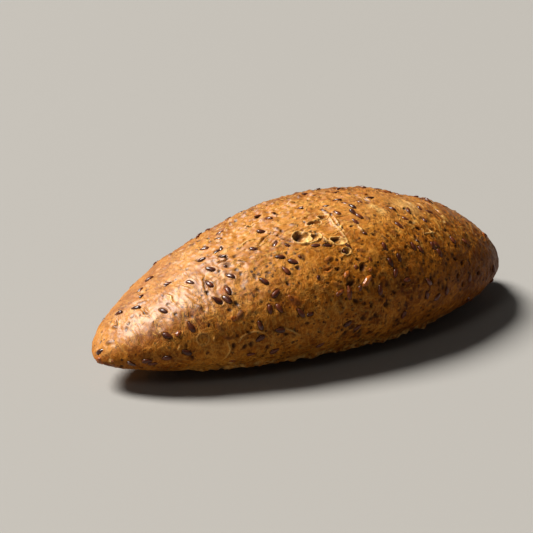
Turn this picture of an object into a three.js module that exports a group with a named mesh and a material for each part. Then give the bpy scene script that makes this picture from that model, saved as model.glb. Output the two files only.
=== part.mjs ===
// A seeded loaf: a hand-rolled, spindle-shaped wholemeal roll, baked in one piece on a flat tray.
// Millimetres, +Z up. The origin is on the tray, under the middle of the loaf's bounding box, and +X
// runs along the loaf from its slender end to its fuller one. The linseeds and grain on the crust are
// smaller than the facets, so the solid is the loaf's own body: crumb and crust together, as baked.
import * as THREE from "three";
import { mergeVertices } from "three/addons/utils/BufferGeometryUtils.js";

// Driving dimensions
const LENGTH = 190;
const WIDTH = 86;
const HEIGHT = 54.5;
const TIP_HEIGHT = 12; // both pointed ends rise this far off the tray
const SAG_DEPTH = 4.5; // the round underside would reach this far below the tray, and lies flat instead
const WAIST_SHARE = 0.42; // each cross section is widest at this share of its height

// Shape of the outline, where a station runs from -1 at the slender tip to +1 at the fuller one
const WIDEST_SHIFT = 0.084; // the widest place is this far from the middle, towards the fuller tip
const SIDE_TAPER = { slenderEnd: 1.7, fullEnd: 2.1, roundness: 0.55 };
const TOP_TAPER = { slenderEnd: 1.65, fullEnd: 1.85, roundness: 0.62 };
const BASE_TAPER = { slenderEnd: 1.65, fullEnd: 1.65, roundness: 0.6 };

// Slow unevenness left by rolling and rising, on the crust above the tray
const SWELL_HEIGHT = 0.6;
const SWELLS_ALONG = 2.3;
const SWELLS_AROUND = 3;

const FACETS_AROUND = 44;
const FACETS_ALONG = 44;

// 1 at the widest station, falling to 0 at both tips.
function taper(station, outline) {
  const fullness = station < 0 ? outline.slenderEnd : outline.fullEnd;
  return (1 - Math.abs(station) ** fullness) ** outline.roundness;
}

// Carries a point of a unit ball with its poles on the X axis to its place on the crust.
function shapeLoafPoint(point) {
  const shifted = point.x - WIDEST_SHIFT * (1 - point.x ** 2);
  const reach = Math.hypot(point.y, point.z);
  const across = reach > 0 ? point.y / reach : 0;
  const upward = reach > 0 ? point.z / reach : 0;

  const halfWidth = (WIDTH / 2) * taper(shifted, SIDE_TAPER);
  const top = TIP_HEIGHT + (HEIGHT - TIP_HEIGHT) * taper(shifted, TOP_TAPER);
  const waist = TIP_HEIGHT + (WAIST_SHARE * HEIGHT - TIP_HEIGHT) * taper(shifted, TOP_TAPER);
  const underside = TIP_HEIGHT - (TIP_HEIGHT + SAG_DEPTH) * taper(shifted, BASE_TAPER);

  const angle = Math.atan2(upward, across);
  const swell = Math.sin(SWELLS_ALONG * Math.PI * point.x + 1) * Math.sin(SWELLS_AROUND * angle);
  const lift = SWELL_HEIGHT * swell * reach * Math.max(upward, 0);

  const height = upward > 0 ? waist + (top - waist) * upward : waist + (waist - underside) * upward;
  point.set((LENGTH / 2) * point.x, halfWidth * across, Math.max(height + lift, 0));
}

function loafGeometry() {
  const ball = new THREE.SphereGeometry(1, FACETS_AROUND, FACETS_ALONG);
  ball.rotateZ(-Math.PI / 2);
  ball.deleteAttribute("normal");
  ball.deleteAttribute("uv");
  const loaf = mergeVertices(ball);
  const corners = loaf.attributes.position;
  const point = new THREE.Vector3();
  for (let i = 0; i < corners.count; i += 1) {
    point.fromBufferAttribute(corners, i);
    shapeLoafPoint(point);
    corners.setXYZ(i, point.x, point.y, point.z);
  }
  loaf.computeVertexNormals();
  return loaf;
}

const crust = new THREE.MeshStandardMaterial({ color: 0xb8742f, roughness: 0.5, metalness: 0 });
const loaf = new THREE.Mesh(loafGeometry(), crust);
loaf.name = "loaf";

const seededLoaf = new THREE.Group();
seededLoaf.add(loaf);

export default seededLoaf;
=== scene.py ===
# %% [markdown]
# # A seeded loaf
# A spindle-shaped wholemeal roll, as long as a hand, with brown linseeds and coarse grain baked into its
# crust. The solid from the frame gives the body of the loaf. This lesson gives it a crust, seeds and light.
# Everything is in metres, but a baker thinks in millimetres, so the sizes below are in millimetres.

# %% The frame
import math
import random

import bmesh
import bpy
import numpy as np
from mathutils import Matrix, Vector, noise
from mathutils.bvhtree import BVHTree
from mathutils.kdtree import KDTree


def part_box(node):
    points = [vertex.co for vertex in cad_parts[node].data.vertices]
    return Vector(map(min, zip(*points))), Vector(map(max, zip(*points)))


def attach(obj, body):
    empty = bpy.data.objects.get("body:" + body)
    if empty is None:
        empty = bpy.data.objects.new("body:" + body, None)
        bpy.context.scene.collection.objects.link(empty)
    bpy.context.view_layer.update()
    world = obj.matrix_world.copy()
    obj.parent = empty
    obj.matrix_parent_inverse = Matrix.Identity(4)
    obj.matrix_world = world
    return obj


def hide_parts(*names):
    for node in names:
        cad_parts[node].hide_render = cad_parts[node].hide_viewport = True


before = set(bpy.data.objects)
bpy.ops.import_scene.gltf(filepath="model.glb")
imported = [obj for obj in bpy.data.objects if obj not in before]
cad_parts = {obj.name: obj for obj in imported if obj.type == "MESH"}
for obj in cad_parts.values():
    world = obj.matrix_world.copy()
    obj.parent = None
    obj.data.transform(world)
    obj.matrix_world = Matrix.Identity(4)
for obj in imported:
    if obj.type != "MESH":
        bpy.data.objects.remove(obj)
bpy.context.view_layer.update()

MM = 0.001
low_corner, high_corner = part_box("loaf")
LENGTH = (high_corner.x - low_corner.x) / MM
HEIGHT = (high_corner.z - low_corner.z) / MM
print(f"the loaf is {LENGTH:.0f} mm long and {HEIGHT:.1f} mm high")

# %% [markdown]
# ## The camera
# It looks down a little on the loaf from its slender end, so that the long crust runs away to the right.
# A long lens keeps the far end from shrinking too much.

# %% Camera
VIEW_AZIMUTH = -35
VIEW_ELEVATION = 20
VIEW_DISTANCE = 509.4
VIEW_LENS = 84.4
VIEW_TARGET = Vector((-2.9, 25.7, 20))


def towards(azimuth, elevation):
    """The direction from the loaf to something seen at that azimuth and elevation, in degrees."""
    turn, lift = math.radians(azimuth), math.radians(elevation)
    flat = math.cos(lift)
    return Vector((math.sin(turn) * flat, -math.cos(turn) * flat, math.sin(lift)))


view_direction = towards(VIEW_AZIMUTH, VIEW_ELEVATION)
camera_data = bpy.data.cameras.new("camera")
camera_data.lens = VIEW_LENS
camera = bpy.data.objects.new("camera", camera_data)
camera.location = (VIEW_TARGET + view_direction * VIEW_DISTANCE) * MM
camera.rotation_euler = view_direction.to_track_quat("Z", "Y").to_euler()
bpy.context.scene.collection.objects.link(camera)
bpy.context.scene.camera = camera
print("camera", [round(c, 3) for c in camera.location])

# %% [markdown]
# ## The light
# The main lamp is high up, behind the loaf and to its left. It rakes over the crust, so every wrinkle has a
# bright and a dark side, and it draws a glint on each seed. A weak lamp in front and the pale surroundings,
# brightest at the horizon, keep the near side from going black. Both lamps are far off, so the floor is lit
# evenly, and both are wide, so the shadows are soft.

# %% Lamps and surroundings
def far_soft_lamp(name, azimuth, elevation, spread, strength, color):
    """A lamp so far off that it lights the floor evenly, and seen as a soft disc spread degrees wide."""
    data = bpy.data.lights.new(name, "SUN")
    data.angle = math.radians(spread)
    data.energy = strength
    data.color = color
    lamp = bpy.data.objects.new(name, data)
    lamp.location = towards(azimuth, elevation)
    lamp.rotation_euler = lamp.location.to_track_quat("Z", "Y").to_euler()
    bpy.context.scene.collection.objects.link(lamp)


HORIZON_GLOW = 0.36
OVERHEAD_GLOW = 0.045
GLOW_REACH = 0.16

far_soft_lamp("key_lamp", -137, 56, 26, 6.8, (1, 0.965, 0.92))
far_soft_lamp("fill_lamp", -62, 44, 14, 0.2, (1, 0.97, 0.93))

world = bpy.data.worlds.new("surroundings")
bpy.context.scene.world = world
world.use_nodes = True
sky_tree = world.node_tree
sky_tree.nodes["Background"].inputs["Color"].default_value = (1, 0.98, 0.95, 1)
sky_place = sky_tree.nodes.new("ShaderNodeTexCoord")
sky_height = sky_tree.nodes.new("ShaderNodeSeparateXYZ")
sky_fade = sky_tree.nodes.new("ShaderNodeMapRange")
sky_fade.inputs["From Max"].default_value = GLOW_REACH
sky_fade.inputs["To Min"].default_value = HORIZON_GLOW
sky_fade.inputs["To Max"].default_value = OVERHEAD_GLOW
sky_tree.links.new(sky_place.outputs["Generated"], sky_height.inputs["Vector"])
sky_tree.links.new(sky_height.outputs["Z"], sky_fade.inputs["Value"])
sky_tree.links.new(sky_fade.outputs["Result"], sky_tree.nodes["Background"].inputs["Strength"])

# %% [markdown]
# The floor is a plain pale sheet, so wide that its edge is never seen. It is a stage and not a part.

# %% Floor
FLOOR_SIZE = 8
PALE_FLOOR = (0.29, 0.282, 0.265)
floor_shape = bmesh.new()
bmesh.ops.create_grid(floor_shape, x_segments=1, y_segments=1, size=FLOOR_SIZE / 2)
floor_mesh = bpy.data.meshes.new("floor")
floor_shape.to_mesh(floor_mesh)
floor_shape.free()
floor = bpy.data.objects.new("floor", floor_mesh)
bpy.context.scene.collection.objects.link(floor)
floor_finish = bpy.data.materials.new("pale_floor")
floor_finish.use_nodes = True
floor_shader = floor_finish.node_tree.nodes["Principled BSDF"]
floor_shader.inputs["Base Color"].default_value = (*PALE_FLOOR, 1)
floor_shader.inputs["Roughness"].default_value = 0.8
floor_mesh.materials.append(floor_finish)
bpy.context.scene.view_settings.view_transform = "Standard"
print("the floor is", FLOOR_SIZE, "m wide")

# %% [markdown]
# ## Finding a place on the loaf
# A place on the crust has a station, in millimetres along the loaf from its middle, and an angle around it:
# 0 is level on the near side, 90 is the top and 180 is level on the far side. Both are measured from a
# spine inside the loaf, which dips to the height of the two tips. A ray from the spine finds the crust.

# %% Stations and angles
TIP_HEIGHT = 12
SPINE_RISE = 11


def spine_height(station):
    return TIP_HEIGHT + SPINE_RISE * (1 - (2 * station / LENGTH) ** 2)


def crust_place(tree, station, angle):
    """The place on the crust, its outward normal, and the directions along the loaf and up around it."""
    turn = math.radians(angle)
    start = Vector((station, 0, spine_height(station)))
    point, normal, _, _ = tree.ray_cast(start, Vector((0, -math.cos(turn), math.sin(turn))))
    along = (Vector((1, 0, 0)) - normal * normal.x).normalized()
    return point, normal, along, normal.cross(along)


print("the spine is", spine_height(0), "mm high in the middle and", TIP_HEIGHT, "mm at the tips")

# %% [markdown]
# ## The body of the loaf
# The solid from the frame has flat facets. A subdivision rounds them off, and a voxel remesh turns them into
# even squares. The squares are then split where detail is needed: everywhere but underneath, once more on
# the side that is looked at, and a last time around the open pits, threads and creases. Each corner is
# drawn back onto the rounded body, so the loaf stays round.

# %% Body
COARSE_SQUARE = 2.24


def object_from(shape, name):
    mesh = bpy.data.meshes.new(name)
    shape.to_mesh(mesh)
    shape.free()
    made = bpy.data.objects.new(name, mesh)
    bpy.context.scene.collection.objects.link(made)
    return made


def with_modifiers_applied(source, name):
    """A new object holding the mesh of source as its modifiers make it; source is removed."""
    graph = bpy.context.evaluated_depsgraph_get()
    mesh = bpy.data.meshes.new_from_object(source.evaluated_get(graph))
    mesh.name = name
    made = bpy.data.objects.new(name, mesh)
    bpy.context.scene.collection.objects.link(made)
    bpy.data.objects.remove(source)
    return made


body_shape = bmesh.new()
body_shape.from_mesh(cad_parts["loaf"].data)
bmesh.ops.remove_doubles(body_shape, verts=body_shape.verts, dist=0.01 * MM)
rounded = object_from(body_shape, "rounded_body")
rounding = rounded.modifiers.new("rounding", "SUBSURF")
rounding.levels = rounding.render_levels = 2
rounded = with_modifiers_applied(rounded, "rounded_body")
body_tree = BVHTree.FromPolygons(
    [v.co / MM for v in rounded.data.vertices], [tuple(p.vertices) for p in rounded.data.polygons]
)
squares = rounded.modifiers.new("squares", "REMESH")
squares.mode = "VOXEL"
squares.voxel_size = COARSE_SQUARE * MM
crust = with_modifiers_applied(rounded, "crust")
print(len(crust.data.polygons), "coarse squares")

# %% Finer squares where they are seen
# Each open pit is (station, angle, heading, length, width, depth). Threads are pale ridges of dried dough
# and creases are cracks in the skin, and each is a line through some (station, angle). They are listed
# here because the squares around them are split once more.
OPEN_PITS = [
    (-18.2, 53.5, -20, 7.4, 5.6, 1.8),
    (-13.4, 50.3, -30, 4, 3.2, 1),
    (-7, 42, -25, 5.6, 3.8, 0.9),
    (-6.7, 34, 0, 3.4, 3.2, 1.3),
    (-4.2, 65.5, -20, 4.2, 2.4, 1.7),
    (-9.4, 62.5, -8, 5.6, 2.1, 1.5),
]
THREADS = [
    [(-2, 64), (-3.3, 57), (-3.3, 48.5), (-3.8, 40), (-5, 31)], [(-1, 60), (-1.8, 53), (-2.5, 46)],
    [(-12.6, 55), (-11.5, 50), (-10.8, 44), (-9.5, 42)], [(4.8, 50), (4.5, 46), (4.3, 42)],
    [(35.5, 38), (36, 31)], [(32, 35), (38, 35)], [(-51.5, 4), (-48.5, 4.5), (-45, 2)],
    [(-51.5, 4), (-53, 3), (-54, -1)], [(-38, 2), (-35, -1), (-32, -5)],
    [(-58, 2), (-57, -4), (-57, -8), (-58.5, -14)], [(-74, 5), (-73, 9)], [(-62.5, 5), (-62, 8)],
    [(31, 62), (33, 56), (34, 50)], [(37, 70), (38, 63), (39.5, 57)], [(43, 66), (44, 58)],
    [(-64, 70), (-63, 61), (-62, 54)], [(-70, 66), (-69, 58), (-70, 51)],
    [(-32, 92), (-26, 90), (-20, 91)], [(-14, 98), (-8, 100), (-3, 99)],
    [(-40, 70), (-36, 72), (-33, 71)],
    [(-22.3, 52), (-20, 48.3), (-17, 46.8), (-14.3, 46.6), (-11.9, 48.4), (-11.2, 52)],
]
CREASES = [
    [(-26.3, 69), (-29.5, 67.5), (-33.6, 62)], [(-26.3, 69), (-24.6, 63), (-24, 56.5), (-22.5, 52)],
    [(-85, 95), (-86, 88), (-86.5, 80)], [(-43.5, 58), (-42, 52)],
    [(-49, 65), (-47.5, 63), (-46, 62.5)], [(-18, 27), (-17, 26.5), (-15.5, 27)],
    [(-55.5, 60), (-57.2, 56), (-58, 50), (-58.8, 45)], [(-78, 70), (-78.5, 60), (-77.5, 52)],
    [(20, 84), (21, 76), (20.5, 70)], [(50, 72), (51, 60), (50.5, 52)],
]
FINER_AROUND_PIT = 5.2
FINER_AROUND_LINE = 1
pit_centers = [crust_place(body_tree, pit[0], pit[1])[0] for pit in OPEN_PITS]


def along_line(tree, stops):
    """Points on the crust along a line through these stops, closely spaced."""
    points = []
    for (station_a, angle_a), (station_b, angle_b) in zip(stops, stops[1:]):
        for step in range(12):
            share = step / 12
            at = (station_a + (station_b - station_a) * share, angle_a + (angle_b - angle_a) * share)
            points.append(crust_place(tree, *at)[0])
    return points


line_points = [point for stops in THREADS + CREASES for point in along_line(body_tree, stops)]
line_tree = KDTree(len(line_points))
for number, point in enumerate(line_points):
    line_tree.insert(point, number)
line_tree.balance()


def split_faces(shape, wanted):
    edges = {e for f in shape.faces if wanted(f.calc_center_median() / MM, f.normal) for e in f.edges}
    bmesh.ops.subdivide_edges(shape, edges=list(edges), cuts=1, use_grid_fill=True)
    for v in shape.verts:
        v.co = body_tree.find_nearest(v.co / MM)[0] * MM


def above_the_base(center, normal):
    return center.z > 1 or normal.z > -0.8


def on_the_near_side(center, normal):
    return normal.dot(view_direction) > 0.16


def around_detail(center, normal):
    pit_distance = min((center - pit).length for pit in pit_centers)
    return pit_distance < FINER_AROUND_PIT or line_tree.find(center)[2] < FINER_AROUND_LINE


crust_shape = bmesh.new()
crust_shape.from_mesh(crust.data)
split_faces(crust_shape, above_the_base)
bmesh.ops.smooth_vert(
    crust_shape, verts=crust_shape.verts, factor=0.5, use_axis_x=True, use_axis_y=True, use_axis_z=True
)
split_faces(crust_shape, on_the_near_side)
split_faces(crust_shape, around_detail)
bmesh.ops.recalc_face_normals(crust_shape, faces=crust_shape.faces)
crust_shape.to_mesh(crust.data)
crust_shape.free()
triangle_count = sum(len(p.vertices) - 2 for p in crust.data.polygons)
print(len(crust.data.polygons), "faces,", triangle_count, "triangles")

# %% [markdown]
# ## The slow shape of the crust
# Rolling and rising leave broad dents and lumps, and the skin of the dough dries and creases in the oven.
# The creases run around the loaf at its slender end and over its far shoulder, where the dough stretched
# along the loaf, and they run along it on the top. Noise makes all of these. It is worked out at each corner
# of the crust and moves the corner in or out, so it is true shape and changes the outline too.

# %% Noise on the crust
corner_count = len(crust.data.vertices)
buffer = np.empty(corner_count * 3, dtype=np.float32)
crust.data.vertices.foreach_get("co", buffer)
skin = buffer.reshape(-1, 3).astype(float) / MM
crust.data.vertices.foreach_get("normal", buffer)
outward = buffer.reshape(-1, 3).astype(float)
station = skin[:, 0]
angle = np.degrees(np.arctan2(skin[:, 2] - spine_height(station), -skin[:, 1]))
clear_of_base = np.clip(skin[:, 2] / 2.5, 0, 1)


def noise_at(points, sizes, seed):
    """Soft noise from about -1 to 1, with cells of these sizes in millimetres along X, Y and Z."""
    scaled = points / np.array(sizes) + np.array((seed * 7.31, seed * -3.17, seed * 5.53))
    return np.array([noise.noise(p) for p in scaled.tolist()])


def between(values, low, high, soft):
    """1 where values lie between low and high, falling smoothly to 0 over a soft border."""
    rise = np.clip((values - low) / soft + 0.5, 0, 1)
    fall = np.clip((high - values) / soft + 0.5, 0, 1)
    return rise * rise * (3 - 2 * rise) * fall * fall * (3 - 2 * fall)


# The places are first shifted by slow waves, so that the creases wind instead of running straight.
wave = np.stack([noise_at(skin, (7, 7, 7), seed) for seed in (1, 2, 3)], axis=1)
wavy = skin + 2.2 * wave
creases_around = 0.35 - np.abs(noise_at(wavy, (1.9, 9, 9), 4))
creases_along = 0.35 - np.abs(noise_at(wavy, (9, 2, 2), 5))
fine_around = noise_at(wavy, (0.9, 5, 5), 6)
# Each region of the crust is a range of stations and a range of angles, with soft borders.
near_end = between(station, -92, -52, 20) * between(angle, 18, 120, 30)
far_shoulder = between(station, 12, 80, 20) * between(angle, 28, 150, 30)
top_middle = between(station, -55, 15, 20) * between(angle, 45, 140, 25)
lumps = noise_at(skin, (5.5, 5.5, 5.5), 7)
knobs = noise_at(skin, (1.7, 1.7, 1.7), 8)
far_side = between(angle, 110, 200, 20) + between(angle, -200, -150, 20)
crown = between(angle, 78, 130, 24) * between(station, -45, 80, 20)
crown_knobs = noise_at(skin, (1.9, 1.9, 1.9), 11)

print("noise over", corner_count, "corners")

# %% Relief from the noise
# Every amount below is in millimetres.
relief = 0.55 * noise_at(skin, (17, 17, 17), 9)
relief += 0.36 * lumps
relief += 0.75 * crown * crown_knobs
relief += (0.09 + 0.06 * (1 - near_end) + 0.1 * far_shoulder + 0.1 * top_middle) * knobs
relief += 0.46 * near_end * creases_around
relief += (0.22 * far_shoulder + 0.25 * far_side) * creases_around
relief += (0.72 * top_middle + 0.2 * far_side) * creases_along
relief += 0.16 * (near_end + far_shoulder) * fine_around
relief -= 0.4 * np.abs(noise_at(wavy, (2.8, 2.8, 2.8), 10))
print("noise relief from", relief.min().round(2), "to", relief.max().round(2), "mm")

# %% Broad dents
# Each dent is (station, angle, radius, depth).
DENTS = [
    (50, 95, 20, 1.1), (-68, 120, 22, 1.4), (-65, -30, 14, 0.5), (-30, 105, 24, 0.6), (5, 100, 22, 0.8),
    (28, 100, 16, 0.4), (78, 0, 18, 0.6), (84, 88, 13, 1.4),
]


def bell(distance):
    """1 at no distance, falling to 0 at a distance of 1."""
    return np.clip(1 - distance ** 2, 0, 1) ** 2


for dent_station, dent_angle, radius, depth in DENTS:
    center = np.array(crust_place(body_tree, dent_station, dent_angle)[0])
    relief -= depth * bell(np.linalg.norm(skin - center, axis=1) / radius)
print(len(DENTS), "dents")

# %% The nub at the fuller tip
# The fuller tip ends in a small nub with a slight neck, where the rolled dough was pinched off.
NUB_HEIGHT = 1.9
NUB_RADIUS = 9
NECK_DEPTH = 0.6
NECK_DISTANCE = 13

far_tip = skin[skin[:, 0].argmax()]
from_tip = np.linalg.norm(skin - far_tip, axis=1)
relief += NUB_HEIGHT * bell(from_tip / NUB_RADIUS)
relief -= NECK_DEPTH * bell((from_tip - NECK_DISTANCE) / NUB_RADIUS)
skin += outward * (relief * clear_of_base)[:, None]
crust_faces = [tuple(p.vertices) for p in crust.data.polygons]
skin_tree = BVHTree.FromPolygons([Vector(p) for p in skin.tolist()], crust_faces)
print("the slow shape moves the crust from", relief.min().round(2), "to", relief.max().round(2), "mm")

# %% [markdown]
# ## The seeds' places
# The loaf was rolled in brown linseeds before it was baked. Each seed lies flat in the crust, and most lie
# across the slope. The seeds on the near side are placed one by one, as (station, angle, heading, length),
# where a heading of 0 points along the loaf. Random seeds then cover the sides that are out of sight.

# %% Linseeds one by one
LINSEEDS = [
    (-93.5, 70, -30, 4.4), (-83, 108, -45, 4.4), (-78.5, 84, -50, 4.6), (-74, 101, 20, 3),
    (-71.7, 119, 10, 4.4), (-66, 125, -10, 4.6), (-83, -2, 12, 4.6), (-81, -8, 20, 4.4),
    (-87, -5, 0, 4), (-65, 85, -25, 4.6), (-61, 62, -65, 4.6), (-52, 82, -45, 4.6),
    (-52.5, 63, -50, 4.8), (-49, 47, -58, 4.6), (-47.5, 94, -35, 4.4), (-37.5, 106, -40, 4.4),
    (-46, 79, 5, 3.8), (-44, 80, 60, 3.6), (-46.5, 69, -60, 4.4), (-52.5, 36.5, 80, 5.2),
    (-73.5, 47, -62, 4.4), (-76.2, 20.5, -42, 4.8), (-68.4, 20, -72, 5), (-71.2, 0.5, -25, 4.8),
    (-77.3, -1.5, 12, 4.4), (-57.3, 32, -52, 5), (-54.3, 30, -64, 5), (-28, 76, -43, 4.6),
    (-21, 87, -63, 4.4), (-28, 57, 25, 4.2), (-24.8, 51.5, -50, 3), (-36, 61, -45, 4.2),
    (-26, 128, 0, 4.4), (-30, 45, -33, 4.8), (-27, 38.5, -48, 5), (-31, 34, -74, 4.8),
    (-40, 32.5, -60, 4.8), (-38.4, 22.5, 31, 5), (-42, 15, 82, 4.6), (-38.9, 14, -74, 4.6),
    (-31.5, 8, -60, 4.8), (-28, 6, 5, 3.6), (-46.7, -1, 31, 4.8), (-39.8, 1.3, -11, 4.8),
    (-40.4, -13.5, 30, 4.6), (-49, -12.5, 5, 4.2), (-22.5, -15.5, 25, 4.6), (-11.6, 41.0, -22, 4.4),
    (-16, 43.6, -22, 4.2), (-4.5, 36.5, -60, 3.6), (-1.1, 73.3, -82, 4.6), (2, 77.5, -50, 3.4),
    (2, 64.7, -75, 4.4), (10.6, 75.7, -75, 4.6), (11, 68.8, -78, 4.6), (7.7, 61.2, -80, 4.8),
    (8.4, 56, -70, 4.6), (5, 52.2, -75, 4.2), (16.3, 73.5, -75, 4.4), (26.1, 58.9, -70, 4.6),
    (22.3, 43.2, -75, 5.6), (9, 31, -85, 4.8), (8.6, 22, -75, 4.8), (13.3, 23.5, -85, 4.4),
    (9.3, 16.3, 60, 4.8), (1, 9.5, 80, 4.8), (-13.5, -4, 28, 4.6), (-8.8, -8, 35, 4.6),
    (12, -6.5, 80, 4.6), (22.5, 28, -80, 4.6), (25.2, 25.5, -80, 4.2), (32.4, 26.5, -80, 4.8),
    (34.5, 27, -50, 4.4), (34.2, 22, -75, 5), (14, 11.5, 0, 4), (53, 28, -80, 3.6),
    (45.5, 29, -80, 4.4), (49.5, 4.5, 85, 4.6), (34, 1, 85, 4.6), (28.5, -1, 40, 4.6), (28, 48, -60, 4),
    (-7, 86, -60, 4.2), (-56.5, 49, -78, 5), (-46.5, 7, -75, 4.6),
]
# Seeds that stand on end in the crust show only a small round tip.
SEEDS_ON_END = [(-23.2, 39.5), (-21, 23.5), (-6.7, 34), (26.5, 31.5), (-47.5, 58), (4.8, 43)]
# Seeds under a film of crust show as a soft dark mound.
COVERED_SEEDS = [
    (-91, 60, -60, 4.4), (-87, 84, -60, 4.4), (-76, 85, -40, 4.4), (-46.8, 118, 5, 4.4),
    (-63.5, 33, -64, 4.6), (-52.3, 17, 40, 5.4), (-59.6, 13, -65, 4.6), (-57.5, 4.5, -20, 5),
    (-23, 71, -81, 4.6), (-16.6, 68, -45, 4.6), (-1, 67.5, -70, 4.6), (11, 53.2, -72, 4.6),
    (17.4, 38, -75, 5), (-1, 32, -40, 4.6), (-15.6, 17.5, -40, 5.2), (-14.5, 32.5, 15, 4.8),
    (22, 15.5, -85, 4.8), (57, 35, 85, 4.6), (-32.5, 15, -50, 7),
]
print(len(LINSEEDS), "linseeds,", len(SEEDS_ON_END), "on end and", len(COVERED_SEEDS), "covered")

# %% Linseeds at random
LOWEST_PLACE = 5
chance = random.Random(27)


def too_close(place_list, point, gap):
    return any((point - other).length < gap for other in place_list)


taken = [crust_place(skin_tree, seed[0], seed[1])[0] for seed in LINSEEDS + COVERED_SEEDS]


def scatter(how_many, gap, wanted):
    """Random places on the crust, as (station, angle), that keep a gap from all the ones before.

    Fewer land towards the tips, where there is less crust, and none on the lowest part near the tray.
    """
    found = []
    while len(found) < how_many:
        try_station = chance.uniform(-92, 92)
        try_angle = chance.uniform(-40, 220)
        reach = 1 - (try_station / 95) ** 2
        if chance.random() > 0.25 + 0.75 * reach:
            continue
        point, normal, _, _ = crust_place(skin_tree, try_station, try_angle)
        allowed = point.z >= LOWEST_PLACE and wanted(try_station, try_angle, normal)
        if not allowed or too_close(taken, point, gap):
            continue
        taken.append(point)
        found.append((try_station, try_angle))
    return found


def out_of_sight(at_station, at_angle, normal):
    return normal.dot(view_direction) < 0.08


def on_the_far_end(at_station, at_angle, normal):
    return normal.dot(view_direction) > 0.08 and at_station > 20


far_seeds = []
for s, a in scatter(150, 4.2, out_of_sight):
    far_seeds.append((s, a, chance.uniform(-90, 10), chance.uniform(4.2, 5.2)))
for s, a in scatter(9, 4.6, on_the_far_end):
    far_seeds.append((s, a, chance.uniform(-95, -50), chance.uniform(3.6, 4.8)))
SEED_SCALE = 0.79
FAR_SEED_SHARE = 0.98
all_linseeds = []
for s, a, heading, length in LINSEEDS + far_seeds:
    all_linseeds.append((s, a, heading, length * SEED_SCALE * (1 if s < 5 else FAR_SEED_SHARE)))
covered_far = [(s, a, chance.uniform(-90, 90), 4.6) for s, a in scatter(40, 4.2, out_of_sight)]
all_covered = COVERED_SEEDS + covered_far
print(len(all_linseeds), "linseeds in all")

# %% [markdown]
# ## The small shape of the crust
# Gas bubbles burst and leave open pits with a raised lip, small ones leave pinholes, and threads of dough
# dry as pale ridges between them. Each feature presses the crust in or lifts it where it lies. It also marks
# the corners it touches, so that the finish can paint shade into the hollows, creases and seed beds, and
# brighten the threads and the lit ends of the pits.

# %% Marks and tools for small features
# The dark mark holds painted shade and dark flecks; the pale mark holds pale dough and painted light.
painted_shade_and_flecks = np.zeros(corner_count)
pale_and_painted_light = np.zeros(corner_count)
covered = np.zeros(corner_count)
amber = np.zeros(corner_count)
press = np.zeros(corner_count)


def corners_near(point, reach):
    offset = skin - np.array(point)
    near = np.flatnonzero((offset ** 2).sum(axis=1) < reach ** 2)
    return near, offset[near]


def in_ellipse(place, heading, length, width, reach=1.6):
    """The corners near a place, and how far out in the ellipse each lies, where 1 is on its edge."""
    near, lengthwise, crosswise = on_ellipse(place, heading, length, width, reach)
    return near, np.hypot(lengthwise, crosswise)


def on_ellipse(place, heading, length, width, reach):
    """The corners near a place, and where each lies along and across the ellipse, from -1 to 1."""
    point, normal, along, around = place
    turn = math.radians(heading)
    long_way = along * math.cos(turn) + around * math.sin(turn)
    near, offset = corners_near(point, reach * length / 2 + 0.5)
    lengthwise = offset @ np.array(long_way) / (length / 2)
    return near, lengthwise, offset @ np.array(normal.cross(long_way)) / (width / 2)


def smooth_step(values, start, end):
    share = np.clip((values - start) / (end - start), 0, 1)
    return share * share * (3 - 2 * share)


def mark(mask, near, strength):
    mask[near] = np.maximum(mask[near], strength)


print("marks for", corner_count, "corners")

# %% Pits and pinholes
for pit_station, pit_angle, heading, length, width, depth in OPEN_PITS:
    pit = crust_place(skin_tree, pit_station, pit_angle)
    near, lengthwise, crosswise = on_ellipse(pit, heading, length, width, 1.9)
    ragged = np.hypot(lengthwise, crosswise) * (1 + 0.22 * knobs[near])
    press[near] -= depth * (1 - smooth_step(ragged, 0.55, 1))
    press[near] += 0.35 * bell((ragged - 1.1) / 0.16)
    mark(pale_and_painted_light, near, 0.95 * bell((ragged - 1.09) / 0.12))
    # Inside the pit, the end away from the light is painted dark as shade, and in the wider pits the lit end
    # is painted pale as light.
    inside = 1 - smooth_step(ragged, 0.75, 1.05)
    shaded_end = 1 - smooth_step(lengthwise - 0.5 * crosswise, -0.5, 0.1)
    mark(painted_shade_and_flecks, near, inside * shaded_end)
    lit_end = smooth_step(lengthwise, -0.1, 0.6) * min(1, width / 3.4) ** 3
    mark(pale_and_painted_light, near, 0.75 * inside * lit_end)

# A shallow basin joins the two small lips behind the deep pit.
near, distance = in_ellipse(crust_place(skin_tree, -6.5, 57), 60, 10, 8)
press[near] -= 0.9 * (1 - smooth_step(distance, 0.3, 1))

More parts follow.
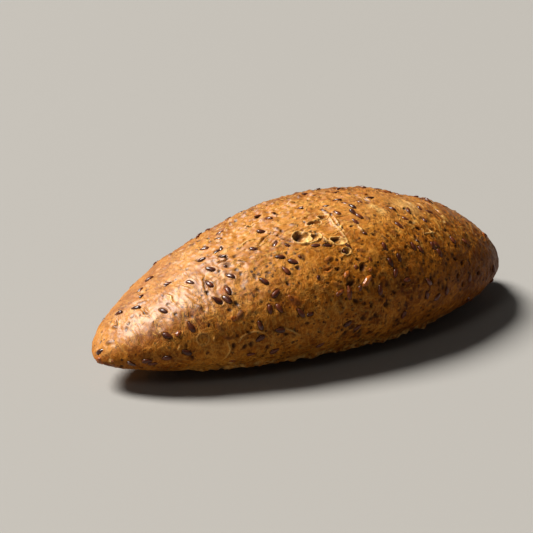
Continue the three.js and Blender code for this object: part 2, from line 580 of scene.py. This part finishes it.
PINHOLES = [
    (-10.5, 16.3, 1.3), (-9.7, 7, 1), (-3.7, 23, 1.3), (26, 9, 1.1), (-71.2, 37, 0.5), (-52, 25, 0.8),
    (-55, 22.5, 0.6), (-63, 17, 0.5), (-69.3, -6, 0.8), (-55.5, -3, 0.9), (-52, -5, 0.8),
    (-84, 63, 0.5), (-85.5, 56, 0.6), (-45.5, 102, 0.6), (-42.3, 104, 0.6), (-41, 112, 0.7),
    (-43.5, 120, 0.6), (-43, 128, 0.6), (-70.5, 108, 0.6), (-58.8, 42, 0.7), (-51, 56, 0.5),
    (-8.5, 94, 0.7), (-4, 97, 0.7), (1.5, 95, 0.7), (-16.5, 90, 0.7), (-12.3, 67, 0.6), (-27, 115, 0.8),
    (-6, 120, 0.8), (-32.8, 26, 0.7), (-26.5, 33, 0.6), (-27, 46, 0.5), (-42, 37, 0.5),
    (-45.5, 45, 0.5), (-49.8, -4.5, 0.8), (-37.5, -2, 0.7), (-29.5, 1.5, 0.6), (-13.2, 25.3, 0.7),
    (-3.5, 3, 0.8), (3.5, 2, 0.7), (12, 9.5, 0.7), (14.5, 12, 0.6), (7, 7, 0.7), (-4, 27.5, 0.7),
    (-13.8, -9.5, 0.9), (-7, -11.5, 0.9), (-2.3, -14, 0.9), (2, -16.5, 0.9), (11, -13, 0.9),
    (-1.5, -3, 0.9), (2.5, 1.5, 0.7), (-7, -3, 0.9), (42.5, 17.5, 0.9), (46, 14.5, 0.9), (41.5, 8, 0.9),
    (56, 6.5, 0.9), (45, 2, 0.8), (32.5, 58, 0.8), (30.5, 39, 0.9), (21, 95, 0.8), (24, 91, 0.8),
]
all_pinholes = [(s, a, radius, 0.8) for s, a, radius in PINHOLES]
stray_holes = scatter(240, 1.3, lambda s, a, normal: True)
all_pinholes += [(s, a, chance.choice((0.3, 0.35, 0.45, 0.6)), 0.5) for s, a in stray_holes]
low_holes = scatter(90, 1.9, lambda s, a, normal: -12 < s < 84 and -26 < a < 48)
all_pinholes += [(s, a, chance.choice((0.5, 0.6, 0.75, 0.95)), 0.2) for s, a in low_holes]
for hole_station, hole_angle, radius, depth_share in all_pinholes:
    size = 2 * radius + 0.3
    near, distance = in_ellipse(
        crust_place(skin_tree, hole_station, hole_angle), chance.uniform(0, 180), size * 1.35, size * 0.8
    )
    press[near] -= depth_share * min(1.1, radius) * (1 - smooth_step(distance, 0.4, 1.1))
    # Every hole is painted dark: painted shade in the deeper ones, a dark fleck where the hole is shallow.
    mark(painted_shade_and_flecks, near, (0.6 + 0.5 * depth_share) * (1 - smooth_step(distance, 0.6, 1.25)))
print(len(OPEN_PITS), "open pits and", len(all_pinholes), "pinholes")

# %% Threads, creases and blisters
BLISTERS = [(-65.8, 8.5, 2.1, 1), (-16.5, 6.5, 2, 0.5), (-25, 7, 1.3, 0.5), (-18.6, 60, 3.8, 0.3)]


def near_line(stops, reach):
    """The corners near a line, how far each is from it, and how far along it, from 0 to 1."""
    points = np.array([list(point) for point in along_line(skin_tree, stops)])
    middle = points.mean(axis=0)
    near, _ = corners_near(middle, np.linalg.norm(points - middle, axis=1).max() + reach)
    distance = np.linalg.norm(skin[near][:, None, :] - points[None, :, :], axis=2)
    closest = distance.argmin(axis=1)
    return near, distance.min(axis=1), closest / (len(points) - 1)


for thread in THREADS:
    near, distance, share = near_line(thread, 2)
    thinning = 0.35 + 0.65 * np.sin(np.pi * share)
    press[near] += 0.5 * bell(distance / 0.5) * thinning
    press[near] -= 0.12 * bell((distance - 1.0) / 0.5) * thinning
    # Threads high on the lit side are painted fully pale, partly their own pale dough and partly painted
    # light; low ones in shade are painted half as pale.
    in_the_light = 1 if thread[0][1] > 20 else 0.5
    mark(pale_and_painted_light, near, bell(distance / 0.42) * thinning * in_the_light)
for crease in CREASES:
    near, distance, share = near_line(crease, 2)
    thinning = 0.35 + 0.65 * np.sin(np.pi * share)
    press[near] -= 0.6 * bell(distance / 0.6) * thinning
    press[near] += 0.2 * bell((distance - 0.9) / 0.6) * thinning
    # Each crease is painted dark along its line, as painted shade.
    mark(painted_shade_and_flecks, near, 0.85 * bell(distance / 0.55) * thinning)
for blister_station, blister_angle, radius, strength in BLISTERS:
    place = crust_place(skin_tree, blister_station, blister_angle)
    near, distance = in_ellipse(place, 0, 2 * radius, 2 * radius, 1.8)
    press[near] += 0.3 * strength * bell((distance - 1) / 0.28)
    press[near] -= 0.25 * strength * bell(distance / 0.8)
    # A dark ring is painted in the dip inside each blister's rim, as shade, and a pale ring on the rim.
    mark(painted_shade_and_flecks, near, 0.4 * strength * bell((distance - 0.8) / 0.25))
    mark(pale_and_painted_light, near, 0.25 * strength * bell((distance - 1.05) / 0.2))
print(len(THREADS), "threads,", len(CREASES), "creases and", len(BLISTERS), "blisters")

# %% Beds for the seeds
for seed_station, seed_angle, heading, length in all_linseeds:
    place = crust_place(skin_tree, seed_station, seed_angle)
    near, distance = in_ellipse(place, heading, length, length * 0.5)
    press[near] -= 0.3 * (1 - smooth_step(distance, 0.85, 1.1))
    press[near] += 0.22 * bell((distance - 1.3) / 0.35)
    # A dark ring round each seed is painted shade where it sits in its bed.
    mark(painted_shade_and_flecks, near, 0.7 * (1 - smooth_step(distance, 0.9, 1.22)))
for seed_station, seed_angle in SEEDS_ON_END:
    near, distance = in_ellipse(crust_place(skin_tree, seed_station, seed_angle), 0, 2.6, 2.4)
    # The same painted shade rings the tips of the seeds on end.
    mark(painted_shade_and_flecks, near, 0.6 * (1 - smooth_step(distance, 0.9, 1.3)))
for seed_station, seed_angle, heading, length in all_covered:
    place = crust_place(skin_tree, seed_station, seed_angle)
    near, distance = in_ellipse(place, heading, length * 0.92, length * 0.45)
    press[near] += 0.42 * bell(distance / 1.15)
    press[near] -= 0.16 * bell((distance - 1.2) / 0.3)
    mark(covered, near, 1 - smooth_step(distance, 0.55, 1.05))
print(len(all_linseeds) + len(SEEDS_ON_END), "beds and", len(all_covered), "mounds")

# %% The torn edge along the tray
# The crust tore free of the tray a little above the base. The lip stands out and is ragged, and the strip
# under it is smooth.
lip_height = 5.4 + 0.9 * noise_at(skin, (8, 8, 8), 20) + 0.7 * noise_at(skin, (2.4, 2.4, 2.4), 21)
above_lip = skin[:, 2] - lip_height
on_side = between(station, -66, 42, 24) * np.where(outward[:, 2] < 0.35, 1, 0)
press += on_side * 0.75 * bell((above_lip - 0.9) / 1.5) * (1 + 1.5 * lumps + 0.8 * knobs)
press -= on_side * 0.9 * bell((above_lip + 1.3) / 1.5)
torn = on_side * bell((above_lip - 1.1) / 1.8)
crumbs = np.clip(0.25 + 2.2 * noise_at(skin, (1.5, 1.5, 1.5), 22), 0, 1)
everywhere = np.arange(corner_count)
mark(pale_and_painted_light, everywhere, 0.5 * torn * crumbs)
# The smooth strip under the lip is painted dark, as shade under the overhang.
mark(painted_shade_and_flecks, everywhere, on_side * 0.75 * bell((above_lip + 1.3) / 1.6))
print("the torn lip is", lip_height.min().round(1), "to", lip_height.max().round(1), "mm above the tray")

# %% Moving the skin
skin += outward * (press * np.clip(skin[:, 2] / 1.5, 0, 1))[:, None]
skin[:, 2] = np.maximum(skin[:, 2], 0)
crust.data.vertices.foreach_set("co", (skin * MM).astype(np.float32).ravel())
crust.data.update()
crust.data.shade_smooth()
print("press from", press.min().round(2), "to", press.max().round(2), "mm")

# %% How brown the crust is, with painted shade
# The far side baked darker, the lumps that stood up caught the heat, and the nub is darkest. The far end
# is darker, partly baked so and partly painted shade where the light falls off along the loaf. The lower
# sides and the underside of the slender tip are painted darker as shade, and the top middle is lighter.
browning_and_shade = 0.45 + 0.26 * station / 95
browning_and_shade += 0.22 * noise_at(skin, (11, 11, 11), 30)
browning_and_shade += 0.16 * noise_at(skin, (4, 4, 4), 31)
browning_and_shade += 0.12 * lumps + 0.34 * between(angle, -60, 28, 36) * between(station, -60, 120, 50)
browning_and_shade += 0.16 * between(station, 48, 120, 30)
browning_and_shade -= 0.13 * between(station, -20, 50, 30) * between(angle, 44, 100, 30)
browning_and_shade += 0.7 * between(station, 88, 110, 8) * between(angle, -90, 90, 50)
browning_and_shade += 0.22 * far_side + 0.06 * near_end
browning_and_shade += 0.55 * between(station, -110, -70, 24) * between(angle, -90, 30, 34)


def store(mesh, name, values):
    layer = mesh.attributes.new(name, "FLOAT", "POINT")
    layer.data.foreach_set("value", np.clip(values, 0, 1).astype(np.float32))


print("browning from", browning_and_shade.min().round(2), "to", browning_and_shade.max().round(2))

# %% Amber stains, pale patches and painted sheen
# Amber stains are (station, angle, radius), and pale patches have a strength as well. The three broad
# patches on the far shoulder are pale film with painted sheen; the small ones are pale specks.
AMBER_STAINS = [(-54.3, 38, 2.4), (-94.5, -10, 3), (-32.5, 15, 3.4), (-17, 26.5, 2)]
PALE_AND_SHEEN_PATCHES = [
    (20, 58, 3.2, 0.5), (19, 65, 3, 0.6), (35, 62, 9, 0.35), (30.5, 44, 0.9, 0.9), (50, 50, 0.9, 0.9),
    (48, 44, 0.9, 0.9), (52, 63, 1, 0.9), (47, 78, 1, 0.8), (-92.5, 5, 0.9, 1), (-55, -19, 1.2, 0.8),
]
for amber_station, amber_angle, radius in AMBER_STAINS:
    near, offset = corners_near(crust_place(skin_tree, amber_station, amber_angle)[0], radius)
    mark(amber, near, bell(np.linalg.norm(offset, axis=1) / radius))
for pale_station, pale_angle, radius, strength in PALE_AND_SHEEN_PATCHES:
    near, offset = corners_near(crust_place(skin_tree, pale_station, pale_angle)[0], radius)
    mark(pale_and_painted_light, near, strength * bell(np.linalg.norm(offset, axis=1) / radius))
print(len(AMBER_STAINS), "amber stains and", len(PALE_AND_SHEEN_PATCHES), "pale patches")

# %% Where the finish changes
# The finish reads how strong its wrinkle lines, its flecks and its shine are from these.
low_front = between(station, -80, 10, 24) * between(angle, -40, 40, 24)
around_lines = 0.12 + 0.5 * near_end + 0.6 * far_shoulder + 0.15 * far_side + 0.2 * low_front
along_lines = 0.12 + 0.75 * top_middle + 0.1 * far_side + 0.2 * low_front
store(crust.data, "around_lines", around_lines)
store(crust.data, "along_lines", along_lines)
coarse = between(angle, -80, 48, 36) * between(station, -56, 120, 50)
coarse = np.maximum(coarse, 0.7 * between(angle, -80, 12, 24) * between(station, -88, 120, 20))
coarse = np.clip(coarse + 0.3 * far_shoulder + 0.2, 0, 1)
coarse *= 1 - 0.5 * between(station, 56, 140, 40)
store(crust.data, "coarse", 0.9 * coarse)
skin_gloss = 0.04 + 0.96 * between(station, -100, -35, 50) * between(angle, 26, 150, 44)
skin_gloss = np.maximum(skin_gloss, 0.75 * between(angle, 48, 150, 30))
store(crust.data, "skin_gloss", skin_gloss)
store(crust.data, "browning_and_shade", browning_and_shade)
store(crust.data, "painted_shade_and_flecks", painted_shade_and_flecks)
store(crust.data, "pale_and_painted_light", pale_and_painted_light)
store(crust.data, "covered", covered)
store(crust.data, "amber", amber)
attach(crust, "root")
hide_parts("loaf")
print("the crust carries", [layer.name for layer in crust.data.attributes if layer.data_type == "FLOAT"])

# %% [markdown]
# ## The crust's finish
# Baked crust is golden where it is thin and brown where it caught the heat, with tiny dark flecks of bran
# all over. Under a thin skin it shines softly. The colour comes from noise in the object's own coordinates
# and from the marks stored above, which also carry painted shade and painted light, and a fine bump gives
# the grain that is too small to model.

# %% Helpers for finishes
def new_finish(name):
    finish = bpy.data.materials.new(name)
    finish.use_nodes = True
    return finish, finish.node_tree, finish.node_tree.nodes["Principled BSDF"]


def node(tree, kind, inputs=None, **settings):
    made = tree.nodes.new(kind)
    for setting, value in settings.items():
        setattr(made, setting, value)
    for socket, value in (inputs or {}).items():
        if isinstance(value, bpy.types.NodeSocket):
            tree.links.new(value, made.inputs[socket])
        else:
            made.inputs[socket].default_value = value
    return made


def noise_node(tree, coordinates, size, detail=3, roughness=0.55):
    """Noise whose lumps are about size millimetres across."""
    inputs = {"Vector": coordinates, "Scale": 1 / (size * MM), "Detail": detail, "Roughness": roughness}
    return node(tree, "ShaderNodeTexNoise", inputs).outputs["Fac"]


def steps(tree, value, low, high, result_low=0.0, result_high=1.0):
    """Carries value from the range low to high over to the range of the results, and stops at its ends."""
    inputs = {"Value": value, "From Min": low, "From Max": high, "To Min": result_low, "To Max": result_high}
    return node(tree, "ShaderNodeMapRange", inputs).outputs["Result"]


def stored(tree, name):
    return node(tree, "ShaderNodeAttribute", attribute_name=name).outputs["Fac"]


def arithmetic(tree, operation, a, b):
    return node(tree, "ShaderNodeMath", {0: a, 1: b}, operation=operation).outputs["Value"]


def mixed(tree, amount, under, over):
    """Lays one colour over another by an amount from 0 to 1."""
    made = node(tree, "ShaderNodeMix", {"Factor": amount}, data_type="RGBA")
    for socket, color in (("A", under), ("B", over)):
        target = next(s for s in made.inputs if s.name == socket and s.type == "RGBA")
        if isinstance(color, bpy.types.NodeSocket):
            tree.links.new(color, target)
        else:
            target.default_value = (*color, 1)
    return next(s for s in made.outputs if s.type == "RGBA")


print("helpers ready")

# %% Baked colour
GOLDEN = (0.54, 0.212, 0.027)
ORANGE_BROWN = (0.34, 0.106, 0.008)
BROWN = (0.13, 0.03, 0.002)
SHADE_AND_FLECK_DARK = (0.03, 0.0075, 0.0025)
PALE_THREAD = (0.72, 0.39, 0.08)
CREAM = (0.86, 0.57, 0.2)
FILM_BROWN = (0.1, 0.028, 0.008)
AMBER = (0.5, 0.13, 0.015)

crust_finish, tree, shader = new_finish("baked_crust")
place = node(tree, "ShaderNodeTexCoord").outputs["Object"]
mottle = noise_node(tree, place, 5, 5, 0.65)
grain = noise_node(tree, place, 1, 4, 0.6)
# The browning carries painted shade too: on the lower sides, under the slender tip and at the far end.
browned_and_shaded = arithmetic(tree, "ADD", stored(tree, "browning_and_shade"), steps(tree, mottle, 0.3, 0.7, -0.28, 0.28))
browned_and_shaded = arithmetic(tree, "ADD", browned_and_shaded, steps(tree, grain, 0.3, 0.7, -0.15, 0.15))
color = mixed(tree, steps(tree, browned_and_shaded, 0.1, 0.6), GOLDEN, ORANGE_BROWN)
color = mixed(tree, steps(tree, browned_and_shaded, 0.55, 1.1), color, BROWN)

print("baked colours laid,", len(tree.nodes), "nodes")

# %% Flecks of bran, blotches and painted glints
FLECK_BROWN = (0.03, 0.009, 0.004)
BLOTCH_BROWN = (0.05, 0.012, 0.003)
BRIGHT_SPECK = (0.62, 0.24, 0.025)

coarse = stored(tree, "coarse")
flecks = node(tree, "ShaderNodeTexVoronoi", {"Vector": place, "Scale": 1 / (1.9 * MM), "Randomness": 1.0})
fleck_size = node(tree, "ShaderNodeSeparateColor", {"Color": flecks.outputs["Color"]})
more_flecks = steps(tree, coarse, 0, 0.9, -0.12, 0.3)
fleck_share = arithmetic(tree, "ADD", fleck_size.outputs["Red"], more_flecks)
fleck_edge = steps(tree, fleck_share, 0.5, 1.25, 0, 0.44)
fleck = arithmetic(tree, "SUBTRACT", fleck_edge, flecks.outputs["Distance"])
fleck = steps(tree, fleck, -0.03, 0.04)
dust = noise_node(tree, place, 0.8, 2, 0.5)
fleck = arithmetic(tree, "MULTIPLY", fleck, steps(tree, dust, 0.35, 0.55, 0.3, 0.95))
color = mixed(tree, fleck, color, FLECK_BROWN)
color = mixed(tree, steps(tree, dust, 0.62, 0.72, 0, 0.25), color, BROWN)
blotch = steps(tree, noise_node(tree, place, 2.1, 3, 0.6), 0.53, 0.66)
blotch = arithmetic(tree, "MULTIPLY", blotch, arithmetic(tree, "MULTIPLY", coarse, 0.7))
color = mixed(tree, blotch, color, BLOTCH_BROWN)
# Bright orange specks, strongest where the crust is coarse, are painted glints.
glint = steps(tree, noise_node(tree, place, 1.5, 2, 0.5), 0.58, 0.68, 0, 0.4)
color = mixed(tree, arithmetic(tree, "MULTIPLY", glint, coarse), color, BRIGHT_SPECK)

print("flecks laid,", len(tree.nodes), "nodes")

# %% Wrinkle lines
# Slow waves shift the places first, so that the lines wind.
WARP = 5 * MM
warp_inputs = {"Vector": place, "Scale": 1 / (6 * MM), "Detail": 2}
warp = node(tree, "ShaderNodeTexNoise", warp_inputs).outputs["Color"]
shift = node(tree, "ShaderNodeVectorMath", {0: warp, 1: (WARP, WARP, WARP)}, operation="MULTIPLY")
shifted = node(tree, "ShaderNodeVectorMath", {0: place, 1: shift.outputs["Vector"]}, operation="ADD")
warped = shifted.outputs["Vector"]


def wrinkle_lines(across_size, along_size, seed_shift, thickness):
    """Thin winding lines: they run around the loaf, or along it, whichever size is the smaller."""
    squeeze = (1 / across_size, 1 / along_size, 1 / along_size)
    stretched = node(tree, "ShaderNodeMapping", {"Vector": warped, "Location": seed_shift, "Scale": squeeze})
    inputs = {"Vector": stretched.outputs["Vector"], "Scale": 1 / MM, "Detail": 1.5}
    wave_height = node(tree, "ShaderNodeTexNoise", inputs).outputs["Fac"]
    distance = arithmetic(tree, "ABSOLUTE", arithmetic(tree, "SUBTRACT", wave_height, 0.5), 0.0)
    return steps(tree, distance, 0, thickness, 1, 0)


around = stored(tree, "around_lines")
lines = arithmetic(tree, "MULTIPLY", wrinkle_lines(2.2, 7, (0, 0, 0), 0.045), around)
lengthwise_lines = wrinkle_lines(7, 2.4, (3, 1, 2), 0.045)
lengthwise_lines = arithmetic(tree, "MULTIPLY", lengthwise_lines, stored(tree, "along_lines"))
lines = arithmetic(tree, "MAXIMUM", lines, lengthwise_lines)
color = mixed(tree, arithmetic(tree, "MULTIPLY", lines, 0.7), color, PALE_THREAD)
cracks = arithmetic(tree, "MULTIPLY", wrinkle_lines(1.2, 6, (5, 2, 7), 0.05), around)
# The thin cracks are painted darker along their lines, as shade in them.
color = mixed(tree, arithmetic(tree, "MULTIPLY", cracks, 0.5), color, BROWN)
print("wrinkles laid,", len(tree.nodes), "nodes")

# %% Colours of the marks
color = mixed(tree, arithmetic(tree, "MULTIPLY", stored(tree, "amber"), 0.75), color, AMBER)
color = mixed(tree, arithmetic(tree, "MULTIPLY", stored(tree, "covered"), 0.72), color, FILM_BROWN)
# Pale dough, rims and crumbs, with painted light on the lit ends of pits, the high threads and the sheen
# patches.
color = mixed(tree, arithmetic(tree, "MULTIPLY", stored(tree, "pale_and_painted_light"), 0.85), color, CREAM)
# Painted shade in pits, pinholes, creases, blister dips, seed beds and under the lip, and dark flecks in the
# shallow holes.
color = mixed(tree, arithmetic(tree, "MULTIPLY", stored(tree, "painted_shade_and_flecks"), 0.93), color, SHADE_AND_FLECK_DARK)
tree.links.new(color, shader.inputs["Base Color"])
print("marks laid,", len(tree.nodes), "nodes")

# %% Bump and shine
fine = noise_node(tree, place, 0.6, 3, 0.6)
medium = noise_node(tree, place, 1.7, 4, 0.6)
fine_bump = node(tree, "ShaderNodeBump", {"Height": fine, "Strength": 0.6, "Distance": 0.3 * MM})
medium = arithmetic(tree, "MULTIPLY", medium, steps(tree, coarse, 0, 0.8, 0.6, 1.2))
medium_bump = node(tree, "ShaderNodeBump", {"Height": medium, "Strength": 0.7, "Distance": 0.5 * MM})
tree.links.new(fine_bump.outputs["Normal"], medium_bump.inputs["Normal"])
ridges = arithmetic(tree, "SUBTRACT", lines, cracks)
crust_bump = node(tree, "ShaderNodeBump", {"Height": ridges, "Strength": 0.7, "Distance": 0.4 * MM})
tree.links.new(medium_bump.outputs["Normal"], crust_bump.inputs["Normal"])
tree.links.new(crust_bump.outputs["Normal"], shader.inputs["Normal"])
tree.links.new(steps(tree, mottle, 0.3, 0.7, 0.36, 0.54), shader.inputs["Roughness"])
tree.links.new(stored(tree, "skin_gloss"), shader.inputs["Coat Weight"])
shader.inputs["Specular IOR Level"].default_value = 0.04
shader.inputs["Coat Roughness"].default_value = 0.5
shader.inputs["Coat IOR"].default_value = 1.6
crust.data.materials.clear()
crust.data.materials.append(crust_finish)
print("crust finish has", len(tree.nodes), "nodes")

# %% [markdown]
# ## The linseeds
# A linseed is a flat drop: round at one end, drawn out at the other, and as glossy as varnish. Each seed is
# shaped from a small ball and laid in its bed, sunk a little and tipped a little, in its own size and its
# own shade of brown. They stay one object, because there are hundreds and they never move apart.

# %% One linseed
SEED_WIDTH = 0.52
SEED_THICKNESS = 0.33


def add_linseed(shape):
    """Adds a linseed one unit long at the origin, lying flat with its drawn-out end towards +X."""
    drop = bmesh.ops.create_uvsphere(shape, u_segments=10, v_segments=6, radius=0.5)["verts"]
    bmesh.ops.rotate(shape, verts=drop, cent=(0, 0, 0), matrix=Matrix.Rotation(math.pi / 2, 3, "Y"))
    for v in drop:
        share = 2 * v.co.x
        narrowing = 1 - 0.24 * share - 0.08 * share * share
        v.co.x += 0.05 * max(share, 0) ** 3
        v.co.y *= SEED_WIDTH * narrowing * 1.03
        v.co.z *= SEED_THICKNESS * narrowing
    return drop


def lie_on_crust(place, heading, size, sink, roll, pitch):
    """The matrix that lays a thing one unit long on the crust, sunk by some millimetres and tipped."""
    point, normal, along, around = place
    turn = math.radians(heading)
    long_way = along * math.cos(turn) + around * math.sin(turn)
    facing = Matrix((long_way, normal.cross(long_way), normal)).transposed()
    tip = Matrix.Rotation(math.radians(pitch), 3, "Y") @ Matrix.Rotation(math.radians(roll), 3, "X")
    grown = (facing @ tip * (size * MM)).to_4x4()
    return Matrix.Translation((point - normal * sink) * MM) @ grown


print("a linseed is", SEED_WIDTH, "as wide as long, and", SEED_THICKNESS, "as thick")

# %% All the linseeds
# Each seed is laid as (station, angle, heading, length, sink, roll, pitch). The low ones stand prouder and
# are less glossy, because flour and crumbs settle on them.
ON_END_LENGTH = 4.4
ON_END_SINK = 1.35
ON_END_PITCH = 62
laid = []
for s, a, heading, length in all_linseeds:
    turned = heading + chance.choice((0, 180))
    sink = chance.uniform(-0.05, 0.15) - (0.2 if a < 36 else 0)
    laid.append((s, a, turned, length, sink, chance.uniform(-9, 9), chance.uniform(-6, 6)))
for s, a in SEEDS_ON_END:
    turned = chance.uniform(-90, 90)
    laid.append((s, a, turned, ON_END_LENGTH, ON_END_SINK, chance.uniform(-20, 20), ON_END_PITCH))

seed_shape = bmesh.new()
seed_shades = []
seed_gloss = []
for s, a, turned, length, sink, roll, pitch in laid:
    drop = add_linseed(seed_shape)
    matrix = lie_on_crust(crust_place(skin_tree, s, a), turned, length, sink, roll, pitch)
    bmesh.ops.transform(seed_shape, verts=drop, matrix=matrix)
    seed_shades += [chance.random()] * len(drop)
    seed_gloss += [0.9 if a > 40 else 0.3] * len(drop)
linseeds = object_from(seed_shape, "linseeds")
linseeds.data.shade_smooth()
store(linseeds.data, "shade", np.array(seed_shades))
store(linseeds.data, "gloss", np.array(seed_gloss))

print(len(linseeds.data.polygons), "faces in", len(laid), "linseeds")

# %% Linseed finish
DARK_SEED = (0.04, 0.008, 0.003)
LIGHT_SEED = (0.13, 0.029, 0.009)

seed_finish, tree, shader = new_finish("glossy_linseed")
place = node(tree, "ShaderNodeTexCoord").outputs["Object"]
mottle = steps(tree, noise_node(tree, place, 1.2, 2), 0.3, 0.7, -0.2, 0.2)
shade = arithmetic(tree, "ADD", stored(tree, "shade"), mottle)
color = mixed(tree, steps(tree, shade, 0, 1), DARK_SEED, LIGHT_SEED)
tree.links.new(color, shader.inputs["Base Color"])
tree.links.new(stored(tree, "gloss"), shader.inputs["Coat Weight"])
shader.inputs["Roughness"].default_value = 0.42
shader.inputs["Specular IOR Level"].default_value = 0.16
shader.inputs["Coat Roughness"].default_value = 0.2
linseeds.data.materials.append(seed_finish)
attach(linseeds, "root")
print("linseed finish has", len(tree.nodes), "nodes")

# %% [markdown]
# ## The coarse grain
# Bits of cracked grain and husk stick out between the seeds, amber to reddish and half buried. Each is a
# small ball, drawn out and dented at random. The ones on the side that is looked at are finer balls.

# %% Grain
# Each bit is (station, angle, heading, length, width, shade), where a shade of 1 is the brightest amber.
GRAIN = [
    (-72.6, 19, 25, 3.2, 2, 0.6), (-54.5, 16, 0, 2.6, 2, 0.75), (-10.5, 21.5, 40, 4.2, 2, 0.95),
    (-15.7, 13, 24, 4.8, 1.9, 0.55), (-11.7, 12, 80, 5.4, 2.3, 0.35), (-3.5, 15.7, 34, 5.8, 2.4, 1),
    (-1, 20.7, 20, 2.2, 1.6, 0.9), (58, 42.5, 0, 2, 1.6, 0.9), (62, 72, 0, 2.4, 1.8, 0.7),
    (-94.3, -10, 10, 3.4, 2.6, 0.8), (-33.5, 17, -50, 3.2, 1.6, 0.6), (-92, 4, 0, 1.6, 1.1, 0.9),
    (-7, 13, 75, 3, 1.6, 0.3), (-6, 24, 60, 2.2, 1.4, 0.4), (-55, -17, 0, 2.4, 1.5, 0.8),
    (0.5, 26, 70, 2, 1.2, 0.5),
]
far_grain = [
    (s, a, chance.uniform(-90, 90), chance.uniform(2, 4.6), chance.uniform(1.3, 2.2), chance.random())
    for s, a in scatter(34, 3.4, out_of_sight) + scatter(4, 3.4, on_the_far_end)
]
GRAIN_THICKNESS = 0.36
GRAIN_SINK = 0.1
grain_shape = bmesh.new()
grain_shades = []
for number, (bit_station, bit_angle, heading, length, width, shade) in enumerate(GRAIN + far_grain):
    fineness = 3 if number < len(GRAIN) else 2
    bit = bmesh.ops.create_icosphere(grain_shape, subdivisions=fineness, radius=0.5)["verts"]
    for v in bit:
        dent = noise.noise(v.co * 2.6 + Vector((number * 3.1, 0, 0)))
        split = noise.noise(Vector((v.co.x * 1.5, v.co.y * 5, v.co.z * 5)) + Vector((0, number * 2.3, 0)))
        v.co *= 1 + 0.32 * dent - 0.4 * abs(split)
        v.co.y *= width / length
        v.co.z *= GRAIN_THICKNESS
    place = crust_place(skin_tree, bit_station, bit_angle)
    roll = chance.uniform(-12, 12)
    matrix = lie_on_crust(place, heading, length, GRAIN_SINK, roll, chance.uniform(-10, 10))
    bmesh.ops.transform(grain_shape, verts=bit, matrix=matrix)
    grain_shades += [shade] * len(bit)
grain_bits = object_from(grain_shape, "grain_bits")
grain_bits.data.shade_smooth()
store(grain_bits.data, "shade", np.array(grain_shades))

print(len(GRAIN) + len(far_grain), "bits of grain")

# %% Grain finish
HUSK_BROWN = (0.07, 0.016, 0.005)
HUSK_RED = (0.17, 0.038, 0.005)
GRAIN_AMBER = (0.42, 0.12, 0.013)

grain_finish, tree, shader = new_finish("amber_grain")
place = node(tree, "ShaderNodeTexCoord").outputs["Object"]
mottle = steps(tree, noise_node(tree, place, 0.9, 3), 0.3, 0.7, -0.35, 0.35)
shade = arithmetic(tree, "ADD", stored(tree, "shade"), mottle)
color = mixed(tree, steps(tree, shade, 0.1, 0.6), HUSK_BROWN, HUSK_RED)
color = mixed(tree, steps(tree, shade, 0.6, 1.1), color, GRAIN_AMBER)
tree.links.new(color, shader.inputs["Base Color"])
shader.inputs["Roughness"].default_value = 0.36
shader.inputs["Specular IOR Level"].default_value = 0.15
shader.inputs["Coat Weight"].default_value = 0.35
shader.inputs["Coat Roughness"].default_value = 0.15
grain_bits.data.materials.append(grain_finish)
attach(grain_bits, "root")
print("grain finish has", len(tree.nodes), "nodes")

# %% [markdown]
# ## The end
# The scene is brought up to date. The looks may stand a little proud of the solid from the frame, but
# the loaf must stay the same size.


bpy.context.view_layer.update()
